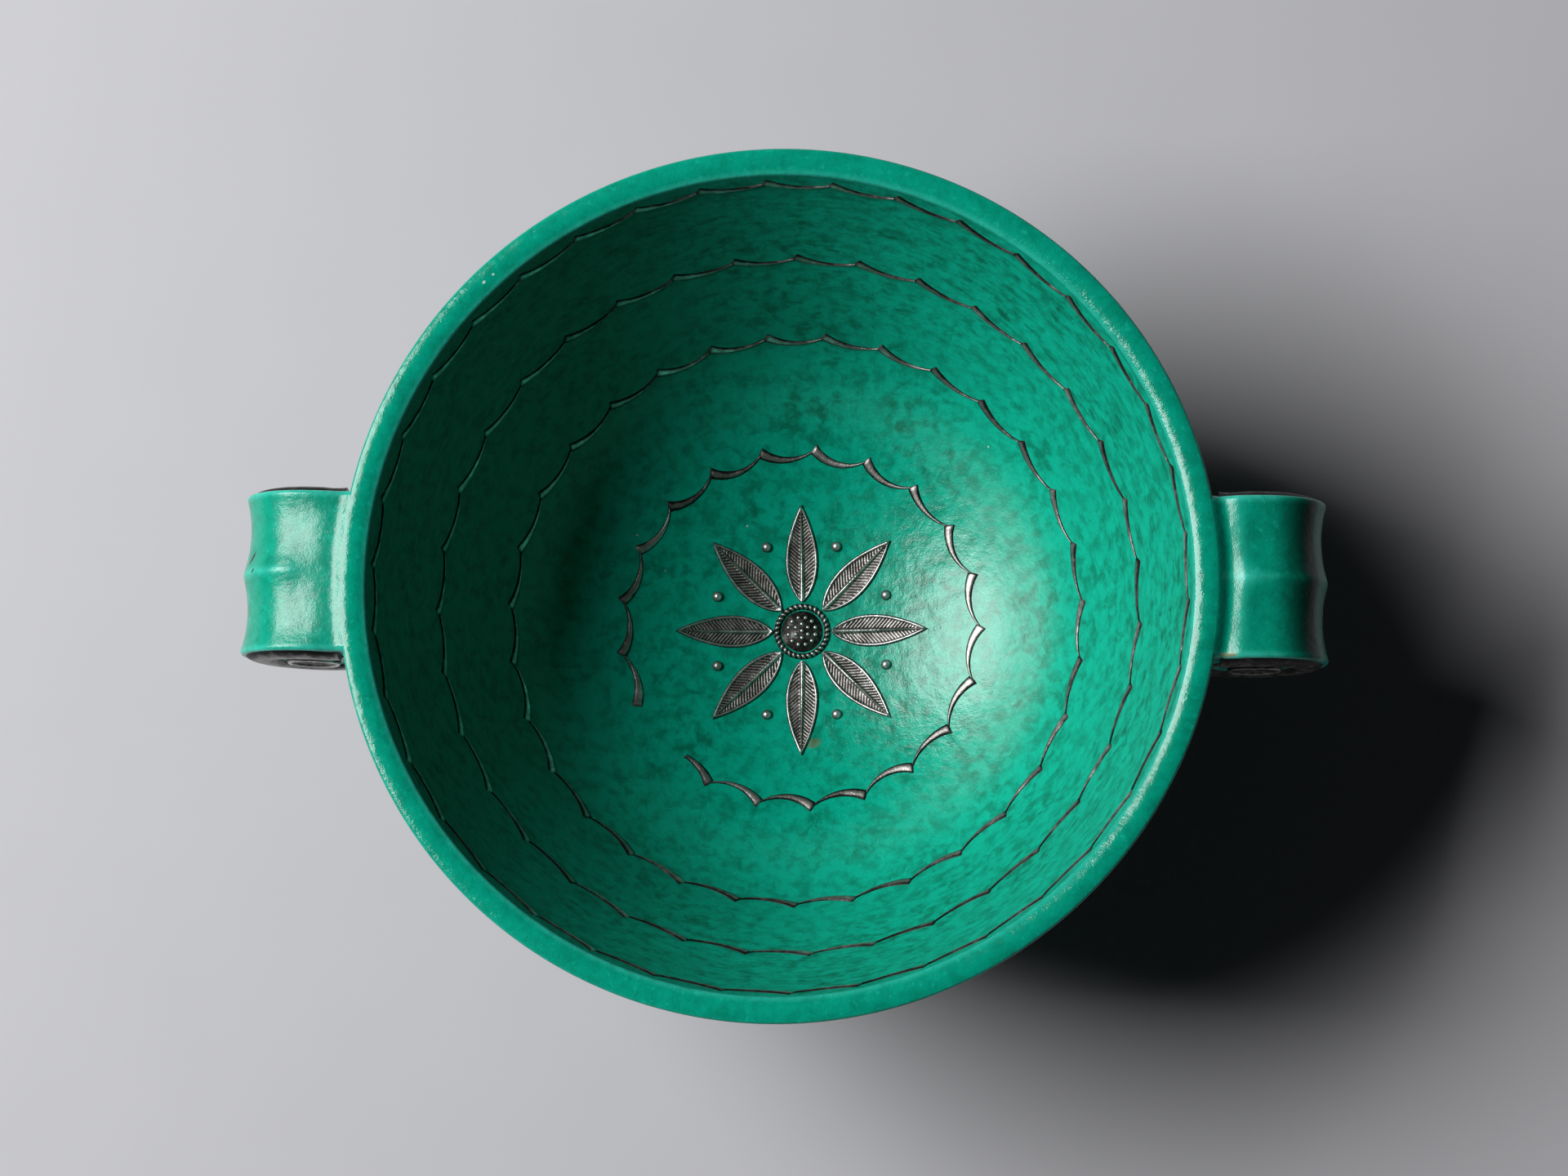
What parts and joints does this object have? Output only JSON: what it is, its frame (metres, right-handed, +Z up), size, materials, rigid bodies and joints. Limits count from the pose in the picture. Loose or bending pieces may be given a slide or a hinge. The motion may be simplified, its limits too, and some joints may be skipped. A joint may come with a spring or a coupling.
{
  "type": "two-handled stoneware bowl with silver overlay",
  "caption": "Round glazed stoneware bowl on a foot ring, with a square lip rounded at its edges, fluted scroll lug handles and raised silver ornament inside and on the scrolls.",
  "frame": {"origin": "on the surface the bowl stands on, under the middle of the bowl", "axes": "+Z up through the mouth, +X along the two handles, +Y across them"},
  "size_m": [0.2504, 0.2, 0.104],
  "materials": {
    "green_glaze": "satin, mottled, finely crazed, paler where it breaks over edges",
    "ring_silver": "thin raised silver, tarnished brown-grey, bright where rubbed",
    "rosette_silver": "chased silver, dark in its lines, bright on its high points",
    "scroll_silver": "satin silver with tarnished edges"
  },
  "bodies": {
    "root": {"bowl": "green_glaze", "handle_left": "green_glaze", "handle_right": "green_glaze", "scallop_ring_lip": "ring_silver", "scallop_ring_upper": "ring_silver", "scallop_ring_lower": "ring_silver", "scallop_ring_floor": "ring_silver", "rosette_leaves": "rosette_silver", "rosette_beads": "rosette_silver", "rosette_collar": "rosette_silver", "rosette_boss": "rosette_silver", "scroll_coil_left_front": "scroll_silver", "scroll_coil_left_back": "scroll_silver", "scroll_coil_right_front": "scroll_silver", "scroll_coil_right_back": "scroll_silver", "scroll_eye_left_front": "scroll_silver", "scroll_eye_left_back": "scroll_silver", "scroll_eye_right_front": "scroll_silver", "scroll_eye_right_back": "scroll_silver"}
  },
  "joints": []
}
